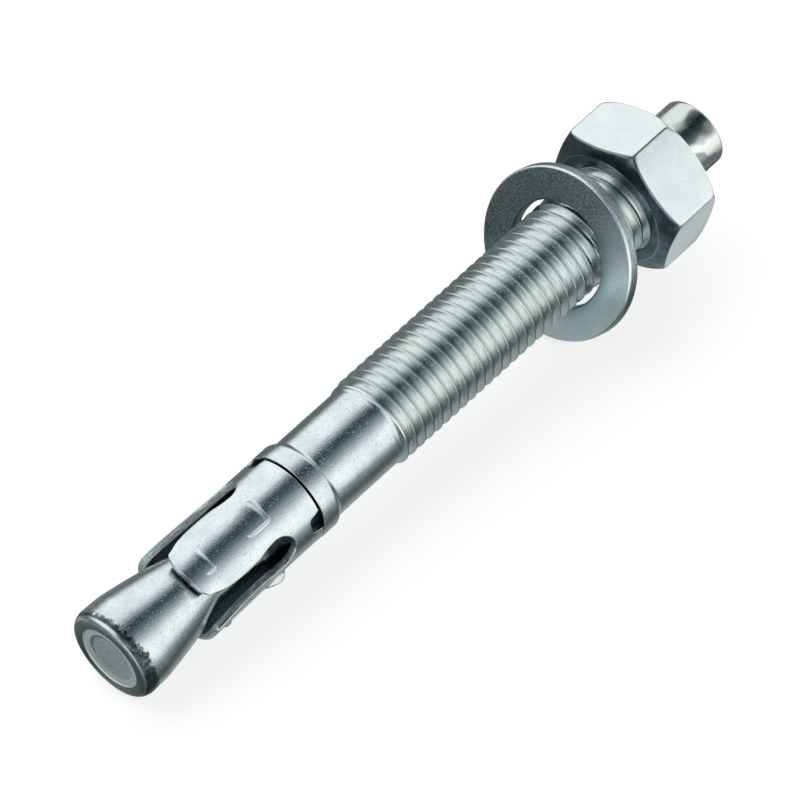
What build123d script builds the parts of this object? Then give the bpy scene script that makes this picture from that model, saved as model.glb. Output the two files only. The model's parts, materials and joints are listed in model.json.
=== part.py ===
"""Wedge anchor: a forged bolt with an expander cone, a three-lobed sheet clip, a washer and a nut.

The anchor is drawn along its own axis, with station 0 at the cone end and the stations growing
towards the threaded end.  Last, it is laid down on the table: the rim of the cone end and the
lower edge of the leaning washer touch z = 0.  Millimetres throughout.
"""
from build123d import *
from math import cos, degrees, radians, tan
import os

# ---- bolt: one cold-formed piece ----------------------------------------------------------
BOLT_LENGTH = 171.1
THREAD_RADIUS = 9.9  # crest of an M20 x 2.5 thread after plating
SHANK_RADIUS = 9.13  # smooth part, as large as the thread's pitch radius
TIP_RADIUS = 7.65  # unthreaded end that takes the hammer blows
TIP_LENGTH = 12.55
TIP_EDGE = 0.45
THREAD_END_CHAMFER = THREAD_RADIUS - TIP_RADIUS  # 45 degrees
THREAD_LENGTH = 85.2
THREAD_RUN_IN = 2.6  # the plain shank rises to the crests over this length
THREAD_PITCH = 2.5
THREAD_ROOT_RADIUS = 8.6
THREAD_CREST_WIDTH = 0.35
THREAD_FLANK_ANGLE = 30.0  # each flank leans this far from a plane across the bolt

COLLAR_STATION = 49.3
COLLAR_RADIUS = 9.95
COLLAR_WIDTH = 4.0
COLLAR_BEVEL = 1.1
COLLAR_EDGE = 0.3

NECK_RADIUS = 6.65
NECK_END = 35.1
NECK_STEP = 0.25
SEAT_STATION = 41.7  # from here to the collar the bolt carries the clip's closed band
SEAT_RISE = 1.3
SEAT_BLEND = 0.8

CONE_BACK = 6.3
CONE_BACK_RADIUS = 9.97
CONE_NECK = 23.9
CONE_BULGE = 0.2  # the cone's flank is slightly barrelled
LAND_STATION = 3.3
LAND_RADIUS = 10.02
RIM_STATION = 2.0
RIM_RADIUS = 10.1
RIM_ROUND = 1.2
END_EDGE_STATION = 0.15
END_EDGE_RADIUS = 9.1
CREST_RADIUS = 7.8  # ring crest round the dished end face
DISH_DEPTH = 0.55
DISH_RADIUS = 5.3
DISH_FLOOR_DROP = 0.15
DISH_FLOOR_RADIUS = 4.0

# ---- clip: one strip of sheet, blanked, pressed and rolled round the neck -----------------
LOBE_COUNT = 3
LOBE_DIRECTION = -18.4  # degrees from straight up, towards +Y
SHEET = 1.55
SEAT_CLEARANCE = 0.12
COLLAR_GAP = 0.5
WAIST_DIP = 0.05  # the strip is drawn in a little where the lobes leave the band
CROWN_RISE = 0.16
TIP_RISE = 0.34
# lengths along the strip are measured from the tips of the lobes
CLIP_TIP = 18.5
TIP_BEVEL = 0.1
CROWN = 11.6
WAIST = 23.1

# one side of the slot between two lobes: places along the strip, half-widths in degrees
TIP_ARC = [(0.0, 50.0), (0.35, 39.0), (0.9, 31.0)]
SLOT_SIDE = [
    (2.8, 24.4),
    (5.2, 19.6),
    (8.1, 17.1),
    (11.6, 16.5),
    (14.6, 17.4),
    (16.8, 20.4),
    (19.1, 21.5),
]
SLOT_LENGTH = 23.0

NOTCH_DEPTH = 2.75
NOTCH_CORNER = 1.2
NOTCH_FLOOR_HALF = 8.0
NOTCH_EDGE_HALF = 12.5
SEAM_WIDTH = 0.35
SEAM_SLOT = 1  # counted round from the slot after the first lobe

PAD_START = 14.7
PAD_PEAK = 18.7
PAD_END = 21.1
PAD_HEIGHT = 1.3
PAD_WIDTH = 5.4
PAD_WALL = 1.1
PAD_CORNER = 0.9
PAD_HOLLOW_CORNER = 0.4
RIDGE_START = 3.4
RIDGE_END = 5.9
RIDGE_HEIGHT = 0.42
RIDGE_CORNER = 0.3

# ---- washer -------------------------------------------------------------------------------
WASHER_RADIUS = 18.3
WASHER_BORE = 11.25
WASHER_THICKNESS = 2.75
WASHER_EDGE = 0.5  # edges rolled over by the press and by tumbling
WASHER_TO_NUT = 15.0  # from the middle of the washer's bore to the nut's near face
WASHER_LEAN = 22.9  # the loose washer hangs with its foot towards the cone

# ---- nut ----------------------------------------------------------------------------------
NUT_FLATS = 30.0
NUT_HEIGHT = 15.5
NUT_OVERRUN = 1.35  # the nut's far face stands this far past the end of the thread
NUT_CORNER_DIRECTION = -14.5  # degrees from straight up, towards +Y
NUT_CHAMFER_RADIUS = 13.0
NUT_CHAMFER_ANGLE = 30.0
NUT_CORNER_ROUND = 0.6
NUT_COUNTERSINK = 10.8
THREAD_CLEARANCE = 0.05

# ---- sizes that follow --------------------------------------------------------------------
SEAT_RADIUS = NECK_RADIUS + NECK_STEP + SEAT_RISE
BAND_INNER = SEAT_RADIUS + SEAT_CLEARANCE
BAND_OUTER = BAND_INNER + SHEET
CLIP_END = COLLAR_STATION - COLLAR_GAP
THREAD_END = BOLT_LENGTH - TIP_LENGTH
NUT_STATION = THREAD_END + NUT_OVERRUN - NUT_HEIGHT
WASHER_STATION = NUT_STATION - WASHER_TO_NUT
COLLAR_END = COLLAR_STATION + COLLAR_WIDTH
CUT_MARGIN = 2.5  # how far cutters reach past what they cut
LYING_STEPS = 6  # each step brings the two feet about twenty times closer in height
THREAD_DEPTH = THREAD_RADIUS - THREAD_ROOT_RADIUS
THREAD_FLANK = THREAD_DEPTH * tan(radians(THREAD_FLANK_ANGLE))


def cone_radius(station):
    """Radius of the barrelled cone at a station between its back edge and the neck."""
    share = (station - CONE_BACK) / (CONE_NECK - CONE_BACK)
    straight = CONE_BACK_RADIUS + share * (NECK_RADIUS - CONE_BACK_RADIUS)
    return straight + 4 * CONE_BULGE * share * (1 - share)


def facing(direction):
    """Turn what is drawn facing straight up to a direction in degrees from up towards +Y."""
    return Rot(-direction, 0, 0)


def round_corners(face, corners, radius):
    """Round the corners of a face that lie nearest to the given points."""
    nearest = [face.vertices().sort_by_distance(corner)[0] for corner in corners]
    return fillet(nearest, radius)


def thread_corners():
    """Corners of the thread's section, each turn of the helix drawn as a groove right round."""
    first = THREAD_END - THREAD_LENGTH
    room = THREAD_LENGTH - THREAD_END_CHAMFER - THREAD_CREST_WIDTH
    corners = []
    for turn in range(int(room / THREAD_PITCH)):
        groove = first + turn * THREAD_PITCH + THREAD_CREST_WIDTH
        end = first + (turn + 1) * THREAD_PITCH
        corners += [
            (groove, THREAD_RADIUS),
            (groove + THREAD_FLANK, THREAD_ROOT_RADIUS),
            (end - THREAD_FLANK, THREAD_ROOT_RADIUS),
            (end, THREAD_RADIUS),
        ]
    return corners


def make_bolt():
    end_face = Polyline(
        (DISH_DEPTH + DISH_FLOOR_DROP, 0),
        (DISH_DEPTH + DISH_FLOOR_DROP, DISH_FLOOR_RADIUS),
        (DISH_DEPTH, DISH_RADIUS),
        (0, CREST_RADIUS),
        (END_EDGE_STATION, END_EDGE_RADIUS),
        (RIM_STATION, RIM_RADIUS),
        (LAND_STATION, LAND_RADIUS),
        (CONE_BACK, CONE_BACK_RADIUS),
    )
    flank_middle = (CONE_BACK + CONE_NECK) / 2
    flank = ThreePointArc(
        (CONE_BACK, CONE_BACK_RADIUS),
        (flank_middle, cone_radius(flank_middle)),
        (CONE_NECK, NECK_RADIUS),
    )
    neck = Polyline(
        (CONE_NECK, NECK_RADIUS),
        (NECK_END, NECK_RADIUS),
        (NECK_END + NECK_STEP, NECK_RADIUS + NECK_STEP),
        (SEAT_STATION - SEAT_RISE, NECK_RADIUS + NECK_STEP),
        (SEAT_STATION, SEAT_RADIUS),
        (COLLAR_STATION, SEAT_RADIUS),
        (COLLAR_STATION, COLLAR_RADIUS),
        (COLLAR_END, COLLAR_RADIUS),
        (COLLAR_END + COLLAR_BEVEL, SHANK_RADIUS),
        (THREAD_END - THREAD_LENGTH - THREAD_RUN_IN, SHANK_RADIUS),
        (THREAD_END - THREAD_LENGTH, THREAD_RADIUS),
        *thread_corners(),
        (THREAD_END - THREAD_END_CHAMFER, THREAD_RADIUS),
        (THREAD_END, TIP_RADIUS),
        (BOLT_LENGTH - TIP_EDGE, TIP_RADIUS),
        (BOLT_LENGTH, TIP_RADIUS - TIP_EDGE),
        (BOLT_LENGTH, 0),
        (DISH_DEPTH + DISH_FLOOR_DROP, 0),
    )
    section = make_face([end_face, flank, neck])
    collar_corners = [(COLLAR_STATION, COLLAR_RADIUS), (COLLAR_END, COLLAR_RADIUS)]
    section = round_corners(section, collar_corners, COLLAR_EDGE)
    section = round_corners(section, [(RIM_STATION, RIM_RADIUS)], RIM_ROUND)
    section = round_corners(section, [(SEAT_STATION - SEAT_RISE, NECK_RADIUS + NECK_STEP)], SEAT_BLEND)
    return revolve(section, axis=Axis.X)


def radial_cutter(stretches):
    """Solid facing up whose walls run to the axis, from (station, half-angle) points.

    The stretches lead from the open end along one side to the middle of the far end, and the
    other side mirrors them.  Two points make a line, three an arc and more a smooth curve.
    """
    rings = []
    for height in (BAND_INNER - CUT_MARGIN, BAND_OUTER + CUT_MARGIN):
        edges = []
        for side in (1, -1):
            for stretch in stretches:
                points = [(place, side * height * tan(radians(half)), height) for place, half in stretch]
                curve = {2: Line, 3: ThreePointArc}.get(len(points), Spline)
                edges.append(curve(*points))
        opening, half = stretches[0][0]
        reach = height * tan(radians(half))
        edges.append(Line((opening, -reach, height), (opening, reach, height)))
        rings.append(Wire(edges))
    return Solid.make_loft(rings, ruled=True)


def make_slot():
    """Open slot between two lobes: wide at the tips, narrow at the crowns, round at the end."""
    opening = (-CUT_MARGIN, TIP_ARC[0][1])
    widest, widest_half = SLOT_SIDE[-1]
    diagonal = cos(radians(45))
    end_bend = (widest + diagonal * (SLOT_LENGTH - widest), diagonal * widest_half)
    slot = radial_cutter([
        [opening, TIP_ARC[0]],
        TIP_ARC,
        [TIP_ARC[-1]] + SLOT_SIDE,
        [SLOT_SIDE[-1], end_bend, (SLOT_LENGTH, 0)],
    ])
    return Pos(CLIP_TIP, 0, 0) * slot


def make_notch():
    """Shallow notch in the band's collar edge, in line with a slot."""
    edge = (CLIP_END + CUT_MARGIN, NOTCH_EDGE_HALF)
    corner = (CLIP_END - NOTCH_DEPTH + NOTCH_CORNER, NOTCH_EDGE_HALF)
    floor_end = (CLIP_END - NOTCH_DEPTH, NOTCH_FLOOR_HALF)
    return radial_cutter([[edge, corner], [corner, floor_end], [floor_end, (CLIP_END - NOTCH_DEPTH, 0)]])


def make_sleeve():
    """The rolled strip before any slot is cut: a ring of even sheet that opens towards the tips."""
    outer_tip = (CLIP_TIP, BAND_OUTER + TIP_RISE)
    inner_tip = (CLIP_TIP - TIP_BEVEL, BAND_OUTER + TIP_RISE - SHEET)
    crown = (CLIP_TIP + CROWN, BAND_OUTER + CROWN_RISE)
    waist = (CLIP_TIP + WAIST, BAND_OUTER - WAIST_DIP)
    outside = Spline(outer_tip, crown, waist, (CLIP_END, BAND_OUTER))
    inward = Pos(0, -SHEET)
    inside = inward * outside
    band_edge = Line(outside @ 1, inside @ 1)
    lobe_end = Polyline(outer_tip, inner_tip, inside @ 0)
    return revolve(make_face([outside, band_edge, inside, lobe_end]), axis=Axis.X)


def swelling(start, peak, end, rise, width, corner, foot_radius, inset=0.0):
    """Pressed swelling facing up: an arch turned about the axis and trimmed to its width.

    With an inset it is the hollow that the punch leaves on the inside of the sheet.
    """
    start, peak, end = (CLIP_TIP + place for place in (start, peak, end))
    level = BAND_OUTER - inset
    foot_start, foot_end = (start + inset, level), (end - inset, level)
    arch = Spline(
        foot_start,
        (peak, level + rise),
        foot_end,
        tangents=[(peak - start, rise), (1, 0), (end - peak, -rise)],
    )
    foot = Polyline(foot_end, (end - inset, foot_radius), (start + inset, foot_radius), foot_start)
    ring = revolve(make_face([arch, foot]), axis=Axis.X)
    print_of_punch = RectangleRounded(end - start - 2 * inset, width - 2 * inset, corner)
    blank = extrude(Pos((start + end) / 2, 0, 0) * print_of_punch, 2 * BAND_OUTER)
    return ring & blank


def make_clip():
    """Expansion clip: a closed band at the collar and three lobes that reach over the cone."""
    clip = make_sleeve()
    pitch = 360 / LOBE_COUNT
    stations = (PAD_START, PAD_PEAK, PAD_END)
    mid_sheet = BAND_OUTER - SHEET / 2
    pad = swelling(*stations, PAD_HEIGHT, PAD_WIDTH, PAD_CORNER, mid_sheet)
    pad_hollow = swelling(*stations, PAD_HEIGHT, PAD_WIDTH, PAD_HOLLOW_CORNER, BAND_INNER / 2, PAD_WALL)
    ridge_stations = (RIDGE_START, (RIDGE_START + RIDGE_END) / 2, RIDGE_END)
    ridge = swelling(*ridge_stations, TIP_RISE + RIDGE_HEIGHT, PAD_WIDTH, RIDGE_CORNER, mid_sheet)
    for lobe in range(LOBE_COUNT):
        on_lobe = facing(LOBE_DIRECTION + lobe * pitch)
        clip = clip + on_lobe * pad + on_lobe * ridge - on_lobe * pad_hollow
    for gap in range(LOBE_COUNT):
        on_slot = facing(LOBE_DIRECTION + (gap + 0.5) * pitch)
        clip = clip - on_slot * make_slot() - on_slot * make_notch()
    slot_end = CLIP_TIP + SLOT_LENGTH
    band_length = CLIP_END - slot_end + 2 * CUT_MARGIN
    seam = Pos((CLIP_END + slot_end) / 2, 0, BAND_OUTER) * Box(band_length, SEAM_WIDTH, BAND_OUTER)
    return clip - facing(LOBE_DIRECTION + (SEAM_SLOT + 0.5) * pitch) * seam


def make_washer():
    """Plain punched washer with rolled edges, centred on the origin with its faces across x."""
    ring = Circle(WASHER_RADIUS) - Circle(WASHER_BORE)
    washer = extrude(Plane.YZ * ring, WASHER_THICKNESS / 2, both=True)
    return fillet(washer.edges(), WASHER_EDGE)


def make_nut():
    """Hexagon nut with both ends chamfered and a plain bore that stands for its thread."""
    hexagon = RegularPolygon(NUT_FLATS / 2, 6, major_radius=False, rotation=30)
    hexagon = fillet(hexagon.vertices(), NUT_CORNER_ROUND)
    blank = extrude(Plane.YZ * hexagon, NUT_HEIGHT)
    corner = NUT_FLATS / 2 / cos(radians(30))
    drop = (corner - NUT_CHAMFER_RADIUS) * tan(radians(NUT_CHAMFER_ANGLE))
    bore = THREAD_RADIUS + THREAD_CLEARANCE
    countersink = NUT_COUNTERSINK - bore
    section = Polyline(
        (0, NUT_COUNTERSINK),
        (0, NUT_CHAMFER_RADIUS),
        (drop, corner),
        (NUT_HEIGHT - drop, corner),
        (NUT_HEIGHT, NUT_CHAMFER_RADIUS),
        (NUT_HEIGHT, NUT_COUNTERSINK),
        (NUT_HEIGHT - countersink, bore),
        (countersink, bore),
        (0, NUT_COUNTERSINK),
    )
    return blank & revolve(make_face(section), axis=Axis.X)


def foot_height(piece, angle):
    """Height of a piece's lowest point once the axis rises by an angle in degrees."""
    return (Rot(0, -angle, 0) * piece).bounding_box().min.Z


def lying_angle(bolt, washer):
    """Angle by which the axis rises when the cone end and the washer's foot touch the table."""
    angle = 0.0
    for _ in range(LYING_STEPS):
        angle += degrees((foot_height(bolt, angle) - foot_height(washer, angle)) / WASHER_STATION)
    return angle


pieces = {
    "anchor_bolt": make_bolt(),
    "expansion_clip": make_clip(),
    "flat_washer": Pos(WASHER_STATION, 0, 0) * Rot(0, WASHER_LEAN, 0) * make_washer(),
    "hex_nut": Pos(NUT_STATION, 0, 0) * facing(NUT_CORNER_DIRECTION) * make_nut(),
}
rise = Rot(0, -lying_angle(pieces["anchor_bolt"], pieces["flat_washer"]), 0)
laid = {name: rise * piece for name, piece in pieces.items()}
boxes = [piece.bounding_box() for piece in laid.values()]
low_x, high_x = min(box.min.X for box in boxes), max(box.max.X for box in boxes)
lowest = min(box.min.Z for box in boxes)
onto_origin = Pos(-(low_x + high_x) / 2, 0, -lowest)
os.makedirs("parts", exist_ok=True)
for name, piece in laid.items():
    export_step(onto_origin * piece, f"parts/{name}.step")
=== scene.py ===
"""Looks of a wedge anchor that lies on a pale table: bolt, expansion clip, washer and nut.

Every piece is worked out along the anchor's own axis, in millimetres: a station counts from the
cone end, and y and z lie across it.  Then it is laid onto the axis that the joints state.
Angles round the axis turn right-handed from y towards z.
"""
import json
from math import atan2, cos, pi, radians, sin, tan, tau

import bmesh
import bpy
import numpy as np
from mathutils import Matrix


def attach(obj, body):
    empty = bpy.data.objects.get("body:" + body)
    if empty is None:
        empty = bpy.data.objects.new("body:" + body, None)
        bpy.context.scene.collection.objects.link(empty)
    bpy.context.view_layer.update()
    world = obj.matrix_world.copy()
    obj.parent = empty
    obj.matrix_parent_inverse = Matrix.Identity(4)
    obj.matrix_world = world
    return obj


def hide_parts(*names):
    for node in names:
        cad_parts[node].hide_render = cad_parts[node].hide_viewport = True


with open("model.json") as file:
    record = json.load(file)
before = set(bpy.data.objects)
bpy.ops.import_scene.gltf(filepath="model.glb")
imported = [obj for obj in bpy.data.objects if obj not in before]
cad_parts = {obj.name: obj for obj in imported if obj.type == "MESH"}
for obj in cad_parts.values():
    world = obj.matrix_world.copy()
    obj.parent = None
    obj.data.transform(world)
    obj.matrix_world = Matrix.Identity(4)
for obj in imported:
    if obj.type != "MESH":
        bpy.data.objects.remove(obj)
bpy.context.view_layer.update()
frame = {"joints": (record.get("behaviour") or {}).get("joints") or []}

# ---- camera -------------------------------------------------------------------------------
camera_data = bpy.data.cameras.new("camera")
camera_data.lens = 220.23
camera_data.sensor_width = 36.0
camera_data.clip_end = 50.0
camera = bpy.data.objects.new("camera", camera_data)
camera.location = (-0.46940, -0.41539, 0.73060)
camera.rotation_euler = (radians(41.0350), radians(-0.0341), radians(-48.2213))
bpy.context.scene.collection.objects.link(camera)
bpy.context.scene.camera = camera
bpy.context.scene.view_settings.view_transform = "Standard"

# ---- the anchor's axis --------------------------------------------------------------------
MM = 0.001
CLIP_MIDDLE = 33.65  # station of the point that the clip's joint states
joints = {joint["name"]: joint for joint in frame["joints"]}
ALONG = np.array(joints["clip_turn"]["axis"])
ALONG = ALONG / np.linalg.norm(ALONG)
ASIDE = np.array([0.0, 1.0, 0.0])
UPWARD = np.cross(ALONG, ASIDE)
START = np.array(joints["clip_turn"]["pos_m"]) - CLIP_MIDDLE * MM * ALONG
RISE = atan2(ALONG[2], ALONG[0])


def laid(points):
    """Points (station, y, z) in mm, in a grid of any shape, as places in metres on the laid axis."""
    return START + MM * (np.asarray(points, float) @ np.array([ALONG, ASIDE, UPWARD]))


def polar(station, radius, angle):
    """Points from a station, a distance from the axis and an angle round it."""
    station, radius, angle = np.broadcast_arrays(station, radius, angle)
    return np.stack([station, radius * np.cos(angle), radius * np.sin(angle)], axis=-1)


# ---- meshes -------------------------------------------------------------------------------
WELD = 2e-6  # metres


def patch(index):
    """Triangles over a grid of vertex numbers, without those that have closed up to nothing.

    They face the way of (columns) x (rows): outwards when columns turn round the axis and rows
    run along it.
    """
    a, b = index[:-1, :-1].ravel(), index[:-1, 1:].ravel()
    c, d = index[1:, 1:].ravel(), index[1:, :-1].ravel()
    halves = np.concatenate([np.stack([a, b, c], 1), np.stack([a, c, d], 1)])
    return halves[np.all(halves != np.roll(halves, 1, axis=1), axis=1)]


def closed(index):
    """A grid of vertex numbers with its first column repeated at its end."""
    return np.concatenate([index, index[:, :1]], axis=1)


def numbered(shape, first=0):
    """Vertex numbers for a grid of that shape, counted from first."""
    return first + np.arange(shape[0] * shape[1]).reshape(shape[0], shape[1])


def piece(name, body, node, points, triangles, weld=False):
    """A smooth mesh object from places in mm on the axis, riding on its body for its CAD node.

    Where its patches only meet at their edges, weld joins the vertices that lie on each other.
    """
    mesh = bpy.data.meshes.new(name)
    mesh.from_pydata(laid(points.reshape(-1, 3)).tolist(), [], triangles.tolist())
    mesh.polygons.foreach_set("use_smooth", np.ones(len(mesh.polygons), bool))
    if weld:
        shell = bmesh.new()
        shell.from_mesh(mesh)
        bmesh.ops.remove_doubles(shell, verts=shell.verts, dist=WELD)
        shell.to_mesh(mesh)
        shell.free()
    mesh.validate()
    made = bpy.data.objects.new(name, mesh)
    bpy.context.scene.collection.objects.link(made)
    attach(made, body)
    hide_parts(node)
    return made


def softened(corners, sizes, steps=4):
    """Rows of a section whose inner corners are parabolas that leave the edges at given distances.

    corners has one row a corner and (station, radius) last; between them any columns.  A point of
    a parabola is (1 - t)^2 before + 2 t (1 - t) corner + t^2 after.
    """
    corners = np.asarray(corners, float)
    rows = [corners[:1]]
    t = np.linspace(0, 1, steps + 1).reshape((-1,) + (1,) * (corners.ndim - 1))
    for before, corner, after, size in zip(corners, corners[1:], corners[2:], sizes):
        if np.all(size == 0):
            rows.append(corner[None])
            continue
        back, ahead = before - corner, after - corner
        start = corner + back / np.linalg.norm(back, axis=-1, keepdims=True) * size
        end = corner + ahead / np.linalg.norm(ahead, axis=-1, keepdims=True) * size
        rows.append((1 - t) ** 2 * start + 2 * t * (1 - t) * corner + t ** 2 * end)
    rows.append(corners[-1:])
    return np.concatenate(rows)


def curve_through(x, xs, ys):
    """Smooth curve through points: cubic Hermite pieces whose slopes are those of neighbours."""
    xs, ys = np.asarray(xs, float), np.asarray(ys, float)
    slopes = np.gradient(ys, xs)
    k = np.clip(np.searchsorted(xs, x, side="right") - 1, 0, len(xs) - 2)
    width = xs[k + 1] - xs[k]
    t = np.clip((x - xs[k]) / width, 0, 1)
    return ((1 + 2 * t) * (1 - t) ** 2 * ys[k] + t * (1 - t) ** 2 * width * slopes[k]
            + t * t * (3 - 2 * t) * ys[k + 1] + t * t * (t - 1) * width * slopes[k + 1])


# ---- thread -------------------------------------------------------------------------------
PITCH = 2.5
CREST, ROOT = 9.9, 8.6
ROOT_AT = 78.8 - PITCH * (90 + 12.2) / 360  # station of a root where the angle is zero
# share of the pitch from a crest, share of the depth: a rolled crest with a faint seam in it
TURN = [(0.0, 0.03), (0.02, 0.01), (0.04, 0.0), (0.058, 0.012), (0.075, 0.06), (0.105, 0.17), (0.17, 0.38),
        (0.24, 0.6), (0.3, 0.79), (0.345, 0.91), (0.39, 0.97), (0.5, 1.0)]
TURN = TURN + [(1 - share, depth) for share, depth in TURN[-2:0:-1]]


def helix(start_ring, end_ring, start, end, angles, radii, first):
    """Right-hand thread between two plain rings, as extra points and a grid of vertex numbers.

    A row is one place on the turn's profile, and its station grows by a pitch in one turn, so the
    last column meets the first one a pitch further on.  Stations past either end are folded onto
    the ring there.  radii(station) gives the crest and the root radius.
    """
    shares, depths = np.array(TURN).T
    per_turn = len(shares)
    crest_at = ROOT_AT - PITCH / 2
    turns = np.arange(np.floor((start - crest_at) / PITCH) - 1, np.ceil((end - crest_at) / PITCH) + 1)
    rows = (turns[:, None] + shares[None, :]).ravel()
    depth = np.tile(depths, len(turns))
    station = crest_at + PITCH * (rows[:, None] + angles[None, :] / tau)
    crest, root = radii(station)
    radius = crest - depth[:, None] * (crest - root)
    points = polar(station, radius, angles[None, :])
    index = numbered(station.shape, first)
    index = np.where(station <= start, start_ring[None, :], index)
    index = np.where(station >= end, end_ring[None, :], index)
    past_seam = np.concatenate([index[per_turn:, :1], np.repeat(end_ring[None, :1], per_turn, axis=0)])
    return points, np.concatenate([index, past_seam], axis=1)


# ---- bolt ---------------------------------------------------------------------------------
CONE_START, CONE_END = 6.3, 23.9
CONE_FOOT, NECK, SHANK = 9.97, 6.65, 9.13  # radii
RUN_IN, FULL = 70.75, 73.35  # the thread rises out of the shank between these stations
CHAMFER = 156.3
THREAD_END, TIP = 158.55, 7.65
BOLT_END = 171.1


def bolt_thread(station):
    """Crest and root radii: both leave the shank at the run-in and end on the 45 degree chamfer."""
    grown = np.clip((station - RUN_IN) / (FULL - RUN_IN), 0, 1)
    grown = grown * grown * (3 - 2 * grown)
    limit = np.minimum(CREST, CREST - (station - CHAMFER))
    crest = np.minimum(SHANK + (CREST - SHANK) * grown, limit)
    return crest, np.minimum(SHANK + (ROOT - SHANK) * grown, limit)


def make_bolt():
    """The bolt's whole skin: a softened section turned about the axis, with the helix let in."""
    columns = 108
    angles = np.arange(columns) * tau / columns
    # the cone's side bulges a little: a chord from foot to neck plus a parabola
    flank = np.linspace(CONE_START, CONE_END, 18)[1:-1]
    share = (flank - CONE_START) / (CONE_END - CONE_START)
    bulged = CONE_FOOT - share * (CONE_FOOT - NECK) + 0.8 * share * (1 - share)
    cone = np.stack([flank, bulged, 0 * flank], 1)
    # station, radius, and how far the corner there is softened; from the dished end face to the cone
    end = [(0.75, 0, 0), (0.7, 4.5, 0.3), (0.5, 5.3, 0.3), (0.36, 6.7, 0.15), (0.0, 7.1, 0.15),
           (0.05, 9.25, 0.85), (1.55, 10.1, 0.85), (3.3, 10.03, 0.6), (CONE_START, CONE_FOOT, 0.8)]
    # neck, clip seat, collar and shank
    seat = [(CONE_END, NECK, 0.6), (35.1, NECK, 0.1), (35.35, 6.9, 0.1), (40.4, 6.9, 0.6),
            (41.7, 8.2, 0.5), (49.3, 8.2, 0.15), (49.3, 9.95, 0.35), (53.3, 9.95, 0.45),
            (54.4, SHANK, 0.5), (RUN_IN, SHANK, 0)]
    corners = np.concatenate([end, cone, seat])
    near = softened(corners[:, :2], corners[1:-1, 2])
    far = softened([(THREAD_END, TIP), (BOLT_END, TIP), (BOLT_END, 0)], [0.45])
    bare = np.linspace(160, 169, 8)
    far = np.concatenate([far[:1], np.stack([bare, np.full(len(bare), TIP)], 1), far[1:]])
    rings = [polar(rows[:, :1], rows[:, 1:], angles[None, :]) for rows in (near, far)]
    near_index = numbered(rings[0].shape[:2])
    near_index[0] = 0
    far_index = numbered(rings[1].shape[:2], near_index[-1, -1] + 1)
    far_index[-1] = far_index[-1, 0]
    first = (len(near) + len(far)) * columns
    thread, thread_index = helix(near_index[-1], far_index[0], RUN_IN, THREAD_END, angles, bolt_thread,
                                 first)
    points = np.concatenate([grid.reshape(-1, 3) for grid in (*rings, thread)])
    triangles = np.concatenate([patch(closed(near_index)), patch(thread_index), patch(closed(far_index))])
    return piece("threaded_bolt", "bolt", "anchor_bolt", points, triangles, weld=True)


# ---- nut ----------------------------------------------------------------------------------
NUT_START, NUT_HEIGHT, NUT_FLATS = 144.4, 15.5, 30.0
NUT_CORNER = 90 + 14.5  # degrees round the axis, where a corner of the hexagon points
BORE, FLARED, FLARE = 9.98, 10.8, 0.85  # radii of the bore and its flared ends, and their depth
FACE, CHAMFER_LEAN = 13.0, 25  # radius of the flat face, and degrees of the cone round it
ROLL_FROM, ROLL = 15.7, 0.2  # past this radius the cone falls by so much times the square too


def make_nut():
    """Hexagon nut: each column's section is chamfer, flat, chamfer and bore, softened at its edges."""
    offsets = np.radians([0, 0.5, 1.0, 1.5, 2.0, 2.6, 4, 7, 11, 16, 21, 26, 30])
    sector = np.concatenate([offsets, pi / 3 - offsets[-2:0:-1]])
    angles = (np.arange(6)[:, None] * pi / 3 + sector[None, :]).ravel()
    from_corner = np.abs((angles + pi / 6) % (pi / 3) - pi / 6)
    # across the axis it is a hexagon whose corners are arcs of this radius
    edge = 0.7
    centre = (NUT_FLATS / 2 - edge) / cos(pi / 6)
    flat = NUT_FLATS / 2 / np.cos(pi / 6 - from_corner)
    inside = np.clip(edge ** 2 - (centre * np.sin(from_corner)) ** 2, 0, None)
    corner = centre * np.cos(from_corner) + np.sqrt(inside)
    touches = centre * np.sin(from_corner) < edge * sin(pi / 6)
    hexagon = np.where(touches, corner, flat)
    # the chamfer is a flat cone that rolls over at the six corners
    past = np.clip(hexagon - ROLL_FROM, 0, None)
    drop = (hexagon - FACE) * tan(radians(CHAMFER_LEAN)) + ROLL * past ** 2
    rolled = (0.22 + 0.6 * past)[:, None]
    level = np.zeros_like(hexagon)
    near = [(level + FLARE, level + BORE), (level, level + FLARED), (level, level + FACE), (drop, hexagon)]
    section = near + [(NUT_HEIGHT - station, radius) for station, radius in near[::-1]]
    corners = np.array([np.stack(row, -1) for row in section])
    rows = softened(corners, [0.15, 0.3, rolled, rolled, 0.3, 0.15])
    turned = angles + radians(NUT_CORNER)
    skin = polar(NUT_START + rows[..., 0], rows[..., 1], turned[None, :])
    index = numbered(skin.shape[:2])
    bore_start, bore_end = NUT_START + FLARE, NUT_START + NUT_HEIGHT - FLARE

    def nut_thread(station):
        """Crest and root radii: the ridges rise out of the bore and sink into it again."""
        grown = np.clip(np.minimum(station - bore_start, bore_end - station) / 0.9, 0, 1)
        return BORE + 0 * station, BORE - (BORE - ROOT - 0.1) * grown

    thread, thread_index = helix(index[0], index[-1], bore_start, bore_end, angles, nut_thread, index.size)
    # the helix counts its angles from zero, so it is turned to the first column of the hexagon
    across, up = thread[..., 1].copy(), thread[..., 2].copy()
    thread[..., 1] = across * cos(turned[0]) - up * sin(turned[0])
    thread[..., 2] = across * sin(turned[0]) + up * cos(turned[0])
    points = np.concatenate([skin.reshape(-1, 3), thread.reshape(-1, 3)])
    triangles = np.concatenate([patch(closed(index)), patch(thread_index)[:, ::-1]])
    return piece("threaded_nut", "nut", "hex_nut", points, triangles, weld=True)


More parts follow.
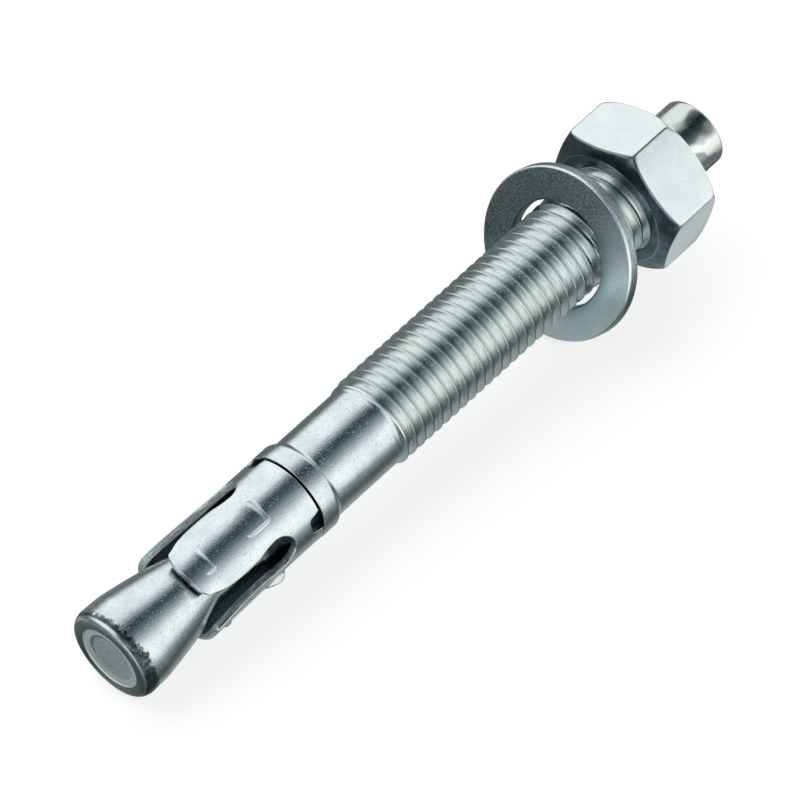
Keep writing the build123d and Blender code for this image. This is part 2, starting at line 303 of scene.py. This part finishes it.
# ---- washer -------------------------------------------------------------------------------
WASHER_MIDDLE = 129.4  # station of its centre
WASHER_THICK, WASHER_BORE, WASHER_RADIUS = 2.75, 11.25, 18.3
WASHER_LEAN = 22.9  # degrees


def make_washer():
    """Punched washer: a softened rectangle turned about its own centre, then leaned over."""
    columns = 192
    angles = np.arange(columns) * tau / columns
    half = WASHER_THICK / 2
    middle = (WASHER_BORE + WASHER_RADIUS) / 2
    section = [(-half, middle), (-half, WASHER_RADIUS), (half, WASHER_RADIUS), (half, WASHER_BORE),
               (-half, WASHER_BORE), (-half, middle)]
    rows = softened(section, [0.5] * 4, 6)[:-1]
    upright = polar(rows[:, :1], rows[:, 1:], angles[None, :])
    lean = radians(WASHER_LEAN)
    turn = np.array([[cos(lean), 0, -sin(lean)], [0, 1, 0], [sin(lean), 0, cos(lean)]])
    points = upright @ turn + np.array([WASHER_MIDDLE, 0, 0])
    index = numbered(points.shape[:2])
    index = np.concatenate([index, index[:1]])
    return piece("round_washer", "washer", "flat_washer", points, patch(closed(index)))


# ---- clip ---------------------------------------------------------------------------------
# places along the strip count in mm from the tips of its lobes, and slot widths in degrees
CLIP_START, CLIP_END = 18.5, 48.8
SHEET = 1.55
BAND = 9.87  # radius of the band's outer skin
LOBE_TURN = 90 + 18.4  # degrees round the axis, where the first lobe's middle line lies
SLOT_PLACES = [0, 0.35, 0.9, 2.8, 5.2, 8.1, 11.6, 14.6, 16.8, 19.1]
SLOT_HALVES = [50, 39, 31, 24.4, 19.6, 17.1, 16.5, 17.4, 20.4, 21.5]
SLOT_ROUND, SLOT_END = 19.1, 23.0
SEAM_GAP = 0.175
EDGE = 0.22  # how far the sheet's sheared edges are rounded over
TIP_BURR = 0.45  # the tips are pressed thicker inwards
PRESS = 2.7  # half the width of the pressed swellings
# the short ridge and the long pad on a lobe: start, peak and end, and how far they stand out
RIDGE, PAD = (3.4, 4.65, 5.9, 0.76), (14.7, 18.7, 21.1, 1.3)


def arch(place, start, peak, end, rise):
    """Height of a pressed swelling along the strip: t + t^2 - t^3 up to the peak and down again."""
    up, down = (place - start) / (peak - start), (end - place) / (end - peak)
    t = np.clip(np.where(place < peak, up, down), 0, 1)
    return rise * (t + t * t - t ** 3)


def make_clip():
    """Three lobes and their band, a grid across and along the strip with an outer and inner skin."""
    tip_rows = [0, 0.05, 0.13, EDGE, 0.35, 0.5, 0.7, 0.9, 1.2, 1.6, 2.2, 2.8, 3.3, 3.62, 3.75, 3.9, 4.1,
                4.35, 4.65, 4.95, 5.2, 5.4, 5.55, 5.68, 6.0, 6.8, 7.8, 9, 10.4, 11.6, 13, 14, 14.7, 14.9,
                15.1, 15.4, 15.8, 16.3, 16.9, 17.5, 18.1, 18.7]
    round_rows = SLOT_ROUND + (SLOT_END - SLOT_ROUND) * np.sin(np.linspace(0, pi / 2, 16))
    band_steps = np.array([0.03, 0.08, 0.2, 0.4, 0.6, 0.8, 0.93])
    lobe = np.concatenate([tip_rows, round_rows])
    slot = curve_through(lobe, SLOT_PLACES, SLOT_HALVES)
    slot[len(tip_rows):] = SLOT_HALVES[-1] * np.cos(np.linspace(0, pi / 2, 16))
    level = np.polyfit([0, 11.6, 23.1, 30.3], [BAND + 0.34, BAND + 0.16, BAND - 0.05, BAND], 3)

    # across the strip: places of the columns on one half, from its middle line
    middle = np.array([0, 0.5, 1.0, 1.5, 2.0, 2.4]) / PRESS
    side = np.array([0.0, 0.12, 0.25, 0.4, 0.55, 0.67, 0.728, 0.745, 0.79, 0.846, 0.93, 1.0])
    rim_in = np.array([EDGE * 0.55, EDGE * 0.2, 0.0])
    rim_down = np.array([EDGE * 0.12, EDGE * 0.45, EDGE])

    def halves(width, press):
        """Column places on one half for rows of given half-width, as rows x columns."""
        press = np.minimum(press, (width - EDGE) * 0.85)[:, None]
        inner = middle * (press - 0.26)
        walls = np.concatenate([press - 0.26, press - 0.18, press - 0.09, press, press + 0.08], 1)
        reach = (width - EDGE)[:, None]
        outer = press + 0.08 + side[1:] * (reach - press - 0.08)
        edge = width[:, None] - rim_in
        return np.concatenate([inner, walls, outer, edge], 1)

    def corner_width(place, start, end, corner):
        """Half-width of a swelling near its rounded ends."""
        short = np.clip(corner - np.minimum(place - start, end - place), 0, corner)
        return PRESS - corner + np.sqrt(corner ** 2 - short ** 2)

    press = np.where(lobe < 10, corner_width(lobe, RIDGE[0], RIDGE[2], 0.3),
                     corner_width(lobe, PAD[0], PAD[2], 0.9))
    radius = np.polyval(level, lobe)
    width = np.radians(60 - slot) * radius
    lobe_x = halves(width, press)
    lobe_angle = lobe_x / radius[:, None]
    count = lobe_x.shape[1]
    sink = np.concatenate([np.zeros(count - 3), rim_down])

    # the band: columns run on from the slot's end, rows spread to the notched edge
    last = lobe_angle[-1]
    notch = np.interp(np.degrees(last), [47.4, 47.6, 52, 60], [0, 1.55, 2.75, 2.75])
    notch_end = CLIP_END - CLIP_START - notch
    steps = band_steps[:, None]
    band_place = SLOT_END + steps * (notch_end[None, :] - EDGE - SLOT_END)
    end_rows = notch_end[None, :] - np.array([[EDGE], [EDGE * 0.55], [EDGE * 0.2], [0.0]])
    end_sink = np.array([0, EDGE * 0.12, EDGE * 0.45, EDGE])[:, None]

    grids = []
    for number in range(3):
        centre = radians(LOBE_TURN - 120 * number)
        for hand in (1, -1):
            # the strip's seam is in the slot after the second lobe
            seam = (number == 1 and hand == -1) or (number == 2 and hand == 1)
            band_angle = np.repeat(last[None, :], len(band_place) + 4, 0)
            band_sink = np.concatenate([np.zeros((len(band_place), count)), np.repeat(end_sink, count, 1)])
            if seam:
                band_angle = band_angle - band_angle / last[-1] * SEAM_GAP / BAND
                band_sink = np.maximum(band_sink, sink[None, :])
            places = np.concatenate([np.repeat(lobe[:, None], count, 1), band_place, end_rows])
            angle = np.concatenate([lobe_angle, band_angle])
            sunk = np.concatenate([np.repeat(sink[None, :], len(lobe), 0), band_sink])
            sunk[:4] = np.maximum(sunk[:4], np.array([EDGE, EDGE * 0.45, EDGE * 0.12, 0])[:, None])
            base = np.polyval(level, places)
            on_press = np.zeros(count)
            on_press[:len(middle) + 3] = [1] * (len(middle) + 1) + [0.95, 0.5]
            on_press[len(middle) + 3] = 0.05
            ridge, pad = [arch(places, start, peak, end, BAND + rise - base)
                          for start, peak, end, rise in (RIDGE, PAD)]
            raised = base + on_press * np.maximum(ridge, pad)
            burr = TIP_BURR * np.clip(1 - places / 4, 0, 1) ** 2
            grids.append((places, angle, raised - sunk, base - SHEET - burr + sunk, centre, hand, seam))

    points, triangles, first = [], [], 0
    for places, angle, outer, inner, centre, hand, seam in grids:
        turned = centre + hand * angle
        skins = []
        for radius_grid in (outer, inner):
            points.append(polar(CLIP_START + places, radius_grid, turned).reshape(-1, 3))
            skins.append(numbered(places.shape, first))
            first += places.size
        out_index, in_index = skins
        wall_rows = len(lobe) if not seam else len(places)
        shells = [patch(out_index), patch(in_index)[:, ::-1]]
        shells.append(patch(np.stack([in_index[0], out_index[0]])))
        shells.append(patch(np.stack([out_index[-1], in_index[-1]])))
        shells.append(patch(np.stack([out_index[:wall_rows, -1], in_index[:wall_rows, -1]], 1)))
        shells = np.concatenate(shells)
        triangles.append(shells if hand == 1 else shells[:, ::-1])
    return piece("sprung_clip", "clip", "expansion_clip",
                 np.concatenate(points), np.concatenate(triangles), weld=True)


# ---- materials ----------------------------------------------------------------------------
def linear(hex_colour):
    """An sRGB hex colour as linear red, green, blue and alpha."""
    parts = [int(hex_colour[i:i + 2], 16) / 255 for i in (1, 3, 5)]
    return [p / 12.92 if p <= 0.04045 else ((p + 0.055) / 1.055) ** 2.4 for p in parts] + [1.0]


def add(tree, kind, *values, **named):
    """Add a node and return the first of its outputs that is live.

    Values fill its live inputs in their order, where None leaves one as it is, and a named value
    is one of its settings or else an input.  An input takes a number, a vector, a hex colour or
    another node's output.
    """
    node = tree.nodes.new("ShaderNode" + kind)
    inputs = []
    for name, value in named.items():
        if hasattr(node, name):
            setattr(node, name, value)
        else:
            inputs.append((node.inputs[name.replace("_", " ")], value))
    inputs += zip([port for port in node.inputs if port.enabled], values)
    for port, value in inputs:
        if isinstance(value, bpy.types.NodeSocket):
            tree.links.new(value, port)
        elif value is not None:
            port.default_value = linear(value) if isinstance(value, str) else value
    return next((port for port in node.outputs if port.enabled), None)


def placed(tree):
    """Object coordinates as (station, y, z) in mm on the anchor's axis."""
    place = add(tree, "TexCoord").node.outputs["Object"]
    origin = [-float(START @ way) / MM for way in (ALONG, ASIDE, UPWARD)]
    return add(tree, "Mapping", place, origin, (0, RISE, 0), (1 / MM, 1 / MM, 1 / MM), vector_type="POINT")


def mottle(tree, place, per_mm, detail=2.0, rough=0.5, low=0.35, high=0.65):
    """Cloudy noise, so many clouds per mm along, aside and upward: 0 where it is at low, 1 at high."""
    sized = add(tree, "Mapping", place, None, None, per_mm, vector_type="POINT")
    return add(tree, "MapRange", add(tree, "TexNoise", sized, 1.0, detail, rough), low, high)


def product(tree, *factors):
    """Product of outputs and numbers."""
    whole = factors[0]
    for factor in factors[1:]:
        whole = add(tree, "Math", whole, factor, operation="MULTIPLY")
    return whole


def graded(tree, value, steps, red_lost, blue_gained, glow=(0, 0, 0)):
    """Light for a value from 0 to 1, through (value, level) steps that turn bluer as they darken."""
    light = add(tree, "ValToRGB", value)
    stops = light.node.color_ramp.elements
    while len(stops) < len(steps):
        stops.new(0.5)
    for stop, (place, level) in zip(stops, steps):
        stop.position = place
        tint = (1 - red_lost * (1 - level), 1, 1 + blue_gained * (1 - level))
        stop.color = [level * share + least for share, least in zip(tint, glow)] + [1]
    return light


class Plating:
    """Bright zinc plating on steel, as outputs that the pieces' own marks are laid over.

    A teal-grey metal, a little duller in faint clouds and in pits of 0.5 mm, with a fine grain that
    breaks up the edges of what it mirrors.
    """

    def __init__(self, name, colour, dull, rough, grain):
        self.made = bpy.data.materials.new(name)
        self.made.use_nodes = True
        self.tree = tree = self.made.node_tree
        tree.nodes.clear()
        self.place = placed(tree)
        self.station, self.aside, self.up = add(tree, "SeparateXYZ", self.place).node.outputs
        squares = [add(tree, "Math", way, 2.0, operation="POWER") for way in (self.aside, self.up)]
        self.radius = add(tree, "Math", add(tree, "Math", *squares, operation="ADD"), operation="SQRT")
        clouds = mottle(tree, self.place, (0.25, 0.25, 0.25), 3)
        pits = mottle(tree, self.place, (2.4, 2.8, 2.8), 2, 0.6, 0.62, 0.72)
        speckle = mottle(tree, self.place, (3.6, 3.6, 3.6), 2, 0.6, 0.3, 0.7)
        clouded = add(tree, "Mix", self.all_of(clouds, 0.2), colour, dull, data_type="RGBA")
        self.tone = add(tree, "Mix", self.all_of(pits, 0.5), clouded, dull, data_type="RGBA")
        self.rough = add(tree, "Math", rough - 0.02, self.all_of(clouds, 0.04), operation="ADD")
        pitted = add(tree, "Math", speckle, self.all_of(pits, 1.5), operation="SUBTRACT")
        self.height = self.all_of(pitted, grain)

    def all_of(self, *masks):
        """Where all these masks are."""
        return product(self.tree, *masks)

    def lay(self, mask, colour, rough=None, height=None):
        """Lay another colour, roughness and height in mm over it, where the mask is 1."""
        tree = self.tree
        self.tone = add(tree, "Mix", mask, self.tone, colour, data_type="RGBA")
        if rough is not None:
            kept = self.all_of(self.rough, add(tree, "Math", 1.0, mask, operation="SUBTRACT"))
            self.rough = add(tree, "Math", kept, self.all_of(mask, rough), operation="ADD")
        if height is not None:
            self.height = add(tree, "Math", self.height, self.all_of(mask, height), operation="ADD")

    def finish(self):
        """The material, with its height as a bump in real depth."""
        bump = add(self.tree, "Bump", Strength=1.0, Distance=MM, Height=self.height)
        metal = add(self.tree, "BsdfPrincipled", Base_Color=self.tone, Metallic=1.0,
                    Roughness=self.rough, Normal=bump)
        add(self.tree, "OutputMaterial", Surface=metal)
        return self.made


def zinc_on_bolt():
    """Cold-formed steel: dull pressed end face, ragged dark scale round its rim, tinted thread."""
    zinc = Plating("zinc_bolt", "#DEE6E5", "#8B979A", 0.09, 0.013)
    tree, station, radius = zinc.tree, zinc.station, zinc.radius
    # the thread is warmly tinted in drifts, and its flanks are a little duller than its crests
    on_thread = zinc.all_of(add(tree, "MapRange", station, 72, 73.5),
                            add(tree, "MapRange", station, 158.5, 157.5))
    drifts = mottle(tree, zinc.place, (0.12, 0.3, 0.3), 2, 0.5, 0.4, 0.7)
    tinted = add(tree, "Mix", zinc.all_of(drifts, 0.4), "#EFF6F4", "#F1F2DF", data_type="RGBA")
    zinc.lay(on_thread, tinted, 0.12)
    flanks = zinc.all_of(on_thread, add(tree, "MapRange", radius, 9.85, 9.7),
                         add(tree, "MapRange", radius, 8.75, 8.95))
    zinc.lay(flanks, "#E6EDEA", 0.16)
    # grime and painted shade in the thread's roots, and nicks and rubbed places that run round it
    zinc.lay(zinc.all_of(on_thread, add(tree, "MapRange", radius, 8.8, 8.6), 0.8), "#98A5A7", 0.2)
    nicks = mottle(tree, zinc.place, (3.0, 0.3, 0.3), 3, 0.65, 0.55, 0.7)
    zinc.lay(zinc.all_of(on_thread, nicks, 0.45), "#6F7E83", 0.22, -0.015)
    # the crests are worn a little dull
    zinc.lay(zinc.all_of(on_thread, add(tree, "MapRange", radius, 9.84, 9.88), 0.75), "#B5C0C0", 0.3)
    # painted shade on the bolt under the clip, so that it doesn't mirror the bright sky through the slots
    under = zinc.all_of(add(tree, "MapRange", station, 35.2, 37),
                        add(tree, "MapRange", station, 49.5, 49.4),
                        add(tree, "MapRange", radius, 9.7, 9.4))
    zinc.lay(zinc.all_of(under, 0.95), "#39454A", 0.35)
    # forging scale round the rim reaches furthest where high_side is low: that counts in mm across
    # the axis, towards 30 degrees up from aside, whose cosine and sine these are
    high_side = add(tree, "Math", zinc.all_of(zinc.aside, 0.866), zinc.all_of(zinc.up, 0.5),
                    operation="ADD")
    ragged = mottle(tree, zinc.place, (0.8, 0.8, 0.8), 5, 0.75, 0.3, 0.7)
    width = add(tree, "MapRange", high_side, 9.0, -7.0, -0.9, 0.3)
    reach = add(tree, "Math", width, zinc.all_of(ragged, 2.2), operation="ADD")
    behind_rim = add(tree, "Math", station, 1.5, operation="SUBTRACT")
    edge = add(tree, "Math", behind_rim, reach, operation="SUBTRACT")
    low_rim = zinc.all_of(add(tree, "MapRange", high_side, 3.0, -2.0),
                          add(tree, "MapRange", radius, 9.2, 9.4))
    on_rim = add(tree, "Math", add(tree, "MapRange", station, 0.7, 1.0), low_rim, operation="MAXIMUM")
    scale = zinc.all_of(add(tree, "MapRange", edge, 0.25, -0.25), on_rim)
    blotch = mottle(tree, zinc.place, (1.1, 1.1, 1.1), 3, 0.65, 0.35, 0.65)
    scaly = add(tree, "Mix", blotch, "#2B3638", "#66757A", data_type="RGBA")
    zinc.lay(scale, scaly, 0.3, zinc.all_of(blotch, 0.03))
    # the end face is blotchy round its rim and pale further in; its dish has a painted shadow arc on one
    # side, where its step lies in shade
    face = add(tree, "MapRange", station, 1.1, 0.9)
    end = zinc.all_of(face, add(tree, "MapRange", radius, 9.2, 9.05))
    zinc.lay(end, add(tree, "Mix", blotch, "#7F8D8D", "#94A2A1", data_type="RGBA"), 0.32)
    zinc.lay(zinc.all_of(face, add(tree, "MapRange", radius, 7.05, 6.85)), "#F6FCFA", 0.55)
    dents = mottle(tree, zinc.place, (2.0, 2.0, 2.0), 3, 0.6, 0.3, 0.7)
    dish = zinc.all_of(face, add(tree, "MapRange", radius, 5.4, 5.1))
    dented = add(tree, "Mix", dents, "#C2CFCC", "#E6F0ED", data_type="RGBA")
    zinc.lay(dish, dented, 0.5, zinc.all_of(dents, 0.12))
    arc = zinc.all_of(dish, add(tree, "MapRange", radius, 4.5, 5.0),
                      add(tree, "MapRange", high_side, 2.0, 4.0))
    zinc.lay(zinc.all_of(arc, 0.7), "#5A6866", 0.5)
    # the turned bare end is faintly wavy, so what it mirrors runs along it in uneven bands; bands are
    # painted on it too: painted light where high_side is low, a painted dark reflection band where it is
    # near zero, and a darker painted strip where it is lowest
    wave = mottle(tree, zinc.place, (0.16, 0.22, 0.22), 1)
    turned = zinc.all_of(add(tree, "MapRange", station, 158.5, 159),
                         add(tree, "MapRange", station, 170.9, 170.5))
    zinc.height = add(tree, "Math", zinc.height, zinc.all_of(turned, wave, 0.14), operation="ADD")
    sway = zinc.all_of(add(tree, "Math", wave, 0.5, operation="SUBTRACT"), 2.8)
    waved = add(tree, "Math", high_side, sway, operation="ADD")
    lower = add(tree, "MapRange", waved, 0.5, -1.0)
    zinc.lay(turned, add(tree, "Mix", lower, "#D2D9D4", "#E9EDE8", data_type="RGBA"), 0.07)
    dark = zinc.all_of(turned, add(tree, "MapRange", waved, 3.0, 1.8),
                       add(tree, "MapRange", waved, -2.2, -0.7))
    zinc.lay(zinc.all_of(dark, 0.8), "#333F49", 0.12)
    zinc.lay(zinc.all_of(turned, add(tree, "MapRange", waved, -4.4, -5.2), 0.7), "#5C6B71", 0.12)
    # and its own end face is dull
    dull = add(tree, "Mix", dents, "#A9B5B5", "#BCC7C7", data_type="RGBA")
    zinc.lay(add(tree, "MapRange", station, 170.8, 171), dull, 0.35)
    return zinc.finish()


def zinc_on_clip():
    """Rolled sheet: smooth skins, and dark rough walls where it was sheared."""
    zinc = Plating("zinc_clip", "#E0E8E8", "#8B979A", 0.09, 0.011)
    tree = zinc.tree
    shear = mottle(tree, zinc.place, (0.6, 2.5, 2.5), 3)
    walls = zinc.all_of(add(tree, "MapRange", zinc.radius, 9.6, 9.4), 0.9)
    sheared = add(tree, "Mix", shear, "#8C9A9B", "#C8D4D4", data_type="RGBA")
    zinc.lay(walls, sheared, 0.38, zinc.all_of(shear, 0.07))
    # the walls of the lobes on the aside half are painted paler, as painted light; level makes good the
    # skin's fall, 0.017 mm a mm
    level = add(tree, "Math", zinc.radius, zinc.all_of(zinc.station, 0.0169), operation="ADD")
    aside_walls = zinc.all_of(add(tree, "MapRange", level, 10.34, 10.26),
                              add(tree, "MapRange", zinc.aside, 3.0, 5.0),
                              add(tree, "MapRange", zinc.station, 44.0, 42.0))
    zinc.lay(aside_walls, add(tree, "Mix", shear, "#BAC6C7", "#F0F5F5", data_type="RGBA"), 0.55)
    # painted shade on the strip's inside, between it and the bolt
    zinc.lay(zinc.all_of(add(tree, "MapRange", level, 9.1, 8.95), 0.85), "#39454A", 0.4)
    return zinc.finish()


def zinc_on_washer():
    """Punched plate: grainy, with a painted dark reflection on its aside half, smoother and paler on the
    other.
    """
    zinc = Plating("zinc_washer", "#E9F6F8", "#C8D7D9", 0.28, 0.008)
    tree = zinc.tree
    grain = mottle(tree, zinc.place, (2.8, 2.8, 2.8), 3, 0.65, 0.38, 0.62)
    # painted dark reflection: the aside half is darker, where it would mirror the dark studio; its grain
    # is its own
    half = add(tree, "Math", zinc.all_of(zinc.aside, 0.6), zinc.all_of(zinc.up, 0.8), operation="ADD")
    dark = zinc.all_of(add(tree, "MapRange", half, -9.0, 7.0), 0.93)
    grainy = add(tree, "Mix", grain, "#3B464B", "#8A9699", data_type="RGBA")
    zinc.lay(dark, grainy, 0.38, zinc.all_of(grain, 0.03))
    # painted shade near the bore, where the thread shades it, darker and grainy on the rim's side, and a
    # painted highlight on the rim's near edge: reach counts from the washer's middle and through along its
    # own leaning axis
    reach = add(tree, "VectorMath", zinc.place, (WASHER_MIDDLE, 0, 0), operation="DISTANCE")
    ahead = add(tree, "Math", zinc.station, WASHER_MIDDLE, operation="SUBTRACT")
    lean = radians(WASHER_LEAN)
    through = add(tree, "Math", zinc.all_of(ahead, cos(lean)), zinc.all_of(zinc.up, sin(lean)),
                  operation="SUBTRACT")
    zinc.lay(zinc.all_of(add(tree, "MapRange", reach, 13.6, 11.6), 0.4), "#7C8B8F", 0.35)
    rim = zinc.all_of(add(tree, "MapRange", reach, 18.05, 18.2),
                      add(tree, "MapRange", through, -1.0, -0.7))
    zinc.lay(zinc.all_of(rim, 0.9), add(tree, "Mix", grain, "#76858A", "#B3BFC2", data_type="RGBA"), 0.3)
    rim_highlight = zinc.all_of(add(tree, "MapRange", reach, 17.95, 18.1),
                         add(tree, "MapRange", through, -0.8, -1.0))
    zinc.lay(zinc.all_of(rim_highlight, 0.9), "#EEF4F4", 0.2)
    return zinc.finish()


def zinc_on_nut():
    """Forged nut: bright flats with fine lines of the die, and faces darker with mottled painted shade."""
    zinc = Plating("zinc_nut", "#DDE6E6", "#BFC9CA", 0.13, 0.003)
    tree = zinc.tree
    lines = mottle(tree, zinc.place, (0.3, 3.0, 3.0), 2)
    zinc.height = add(tree, "Math", zinc.height, zinc.all_of(lines, 0.003), operation="ADD")
    scratches = mottle(tree, zinc.place, (0.25, 4.5, 4.5), 1, 0.5, 0.7, 0.78)
    zinc.lay(zinc.all_of(scratches, 0.22), "#98A4A7", 0.2, -0.005)
    # depth is how far a place lies behind the near face and the cone that rolls over at the corners
    cone, past = [add(tree, "Math", add(tree, "Math", zinc.radius, start, operation="SUBTRACT"), 0.0,
                      operation="MAXIMUM") for start in (FACE, ROLL_FROM)]
    rolled = zinc.all_of(add(tree, "Math", past, 2.0, operation="POWER"), ROLL)
    rise = add(tree, "Math", zinc.all_of(cone, tan(radians(CHAMFER_LEAN))), rolled, operation="ADD")
    behind_face = add(tree, "Math", zinc.station, NUT_START, operation="SUBTRACT")
    depth = add(tree, "Math", behind_face, rise, operation="SUBTRACT")
    on_face = add(tree, "MapRange", depth, 0.2, 0.08)
    # painted shade, mottled, on the near face and its chamfers
    face_mottle = mottle(tree, zinc.place, (0.5, 0.5, 0.5), 4, 0.65, 0.3, 0.7)
    shaded_face = add(tree, "Mix", face_mottle, "#566469", "#849499", data_type="RGBA")
    zinc.lay(zinc.all_of(on_face, 0.95), shaded_face, 0.2, zinc.all_of(face_mottle, 0.03))
    # a painted dark reflection line follows the chamfer's edge, and a painted highlight the inner edge of
    # the chamfer
    edge = zinc.all_of(add(tree, "MapRange", depth, 0.42, 0.3), add(tree, "MapRange", depth, 0.05, 0.15))
    zinc.lay(zinc.all_of(edge, 0.8), "#4A585E", 0.25)
    past_ring = add(tree, "Math", zinc.radius, FACE - 0.1, operation="SUBTRACT")
    ring = add(tree, "MapRange", add(tree, "Math", past_ring, operation="ABSOLUTE"), 0.22, 0.08)
    zinc.lay(zinc.all_of(ring, on_face, 0.6), "#B4C3C6", 0.2)
    return zinc.finish()


for maker, plated in ((make_bolt, zinc_on_bolt), (make_clip, zinc_on_clip),
                      (make_washer, zinc_on_washer), (make_nut, zinc_on_nut)):
    maker().data.materials.append(plated())

# ---- floor and sky ------------------------------------------------------------------------
FLOOR = 20.0
LIFT = 0.68  # brings the lit table to white
# how open a spot of the table is to the sky, and how bright the metal shows it there
SHADE = [(0.1, 0.1), (0.4, 0.42), (0.6, 0.3), (0.74, 0.08), (0.83, 0.1), (0.89, 0.25), (0.97, 0.27),
         (1.0, 1.0)]
# a pale patch before the bare end: along x or y in metres, from where it is none to where it is full
GLARE = [(0, 0.06, 0.068), (0, 0.1, 0.09), (1, -0.009, -0.013), (1, -0.026, -0.02)]
floor_mesh = bpy.data.meshes.new("floor")
floor_mesh.from_pydata(
    [(-FLOOR, -FLOOR, 0), (FLOOR, -FLOOR, 0), (FLOOR, FLOOR, 0), (-FLOOR, FLOOR, 0)], [], [(0, 1, 2, 3)])
floor = bpy.data.objects.new("floor", floor_mesh)
bpy.context.scene.collection.objects.link(floor)
floor_finish = bpy.data.materials.new("matt_white_table")
floor_finish.use_nodes = True
tree = floor_finish.node_tree
tree.nodes.clear()
# what the eye sees: a matt white top, lifted to paper white, with the anchor's soft shadow on it
path = add(tree, "LightPath").node.outputs
matt = add(tree, "BsdfDiffuse", "#CECECE")
lift = add(tree, "Emission", "#FFFEFD", product(tree, path["Is Camera Ray"], LIFT))
table = add(tree, "AddShader", matt, lift)
# what the metal shows of it: the same white, down to the deep shade close to the anchor
open_share = add(tree, "AmbientOcclusion", samples=24, Distance=0.09).node.outputs["AO"]
shown = graded(tree, open_share, SHADE, 0.2, 0.04)
spot = add(tree, "SeparateXYZ", add(tree, "TexCoord").node.outputs["Object"]).node.outputs
glare = product(tree, *[add(tree, "MapRange", spot[way], none, full) for way, none, full in GLARE], 0.85)
shown = add(tree, "Mix", glare, shown, "#CDD3D6", data_type="RGBA")
# behind the anchor the table runs into the dark studio, which gives upper edges their dark line
behind = product(tree, add(tree, "MapRange", spot[1], 0.025, 0.055), 0.9)
shown = add(tree, "Mix", behind, shown, "#4A5558", data_type="RGBA")
mirrored = add(tree, "Emission", shown, 1.05)
in_metal = add(tree, "Math", path["Is Glossy Ray"], path["Is Transmission Ray"], operation="MAXIMUM")
add(tree, "OutputMaterial", add(tree, "MixShader", in_metal, table, mirrored))
floor_mesh.materials.append(floor_finish)

# two long soft boxes lie along the anchor, one behind it up to overhead and one low in front,
# with dark studio between them; the angle turns about x from the front horizon over the top
SOFT_BOXES = [(0, 1.0), (22, 1.03), (33, 0.9), (43, 0.58), (55, 0.3), (66, 0.14), (76, 0.05),
              (87, 0.05), (94, 0.2), (102, 0.55), (110, 0.85), (120, 0.96), (163, 0.96), (173, 0.6),
              (179, 0.2), (180, 0.2)]
BRIGHT = 1.15
GLOW = (0.004, 0.012, 0.02)  # the least light that comes from anywhere in the studio
world = bpy.data.worlds.new("studio")
bpy.context.scene.world = world
world.use_nodes = True
tree = world.node_tree
tree.nodes.clear()
ray = add(tree, "SeparateXYZ", add(tree, "TexCoord").node.outputs["Generated"]).node.outputs
turn = add(tree, "Math", ray[2], product(tree, ray[1], -1.0), operation="ARCTAN2")
half_turns = add(tree, "Math", turn, pi, operation="DIVIDE")
boxes = graded(tree, half_turns, [(degree / 180, level) for degree, level in SOFT_BOXES], 0.18, 0.1, GLOW)
# towards the ends of the anchor the studio is plainly grey
ends = add(tree, "MapRange", add(tree, "Math", ray[0], operation="ABSOLUTE"), 0.88, 1.0)
light = add(tree, "Mix", ends, boxes, "#B8BFC3", data_type="RGBA")
add(tree, "OutputWorld", add(tree, "Background", light, BRIGHT))
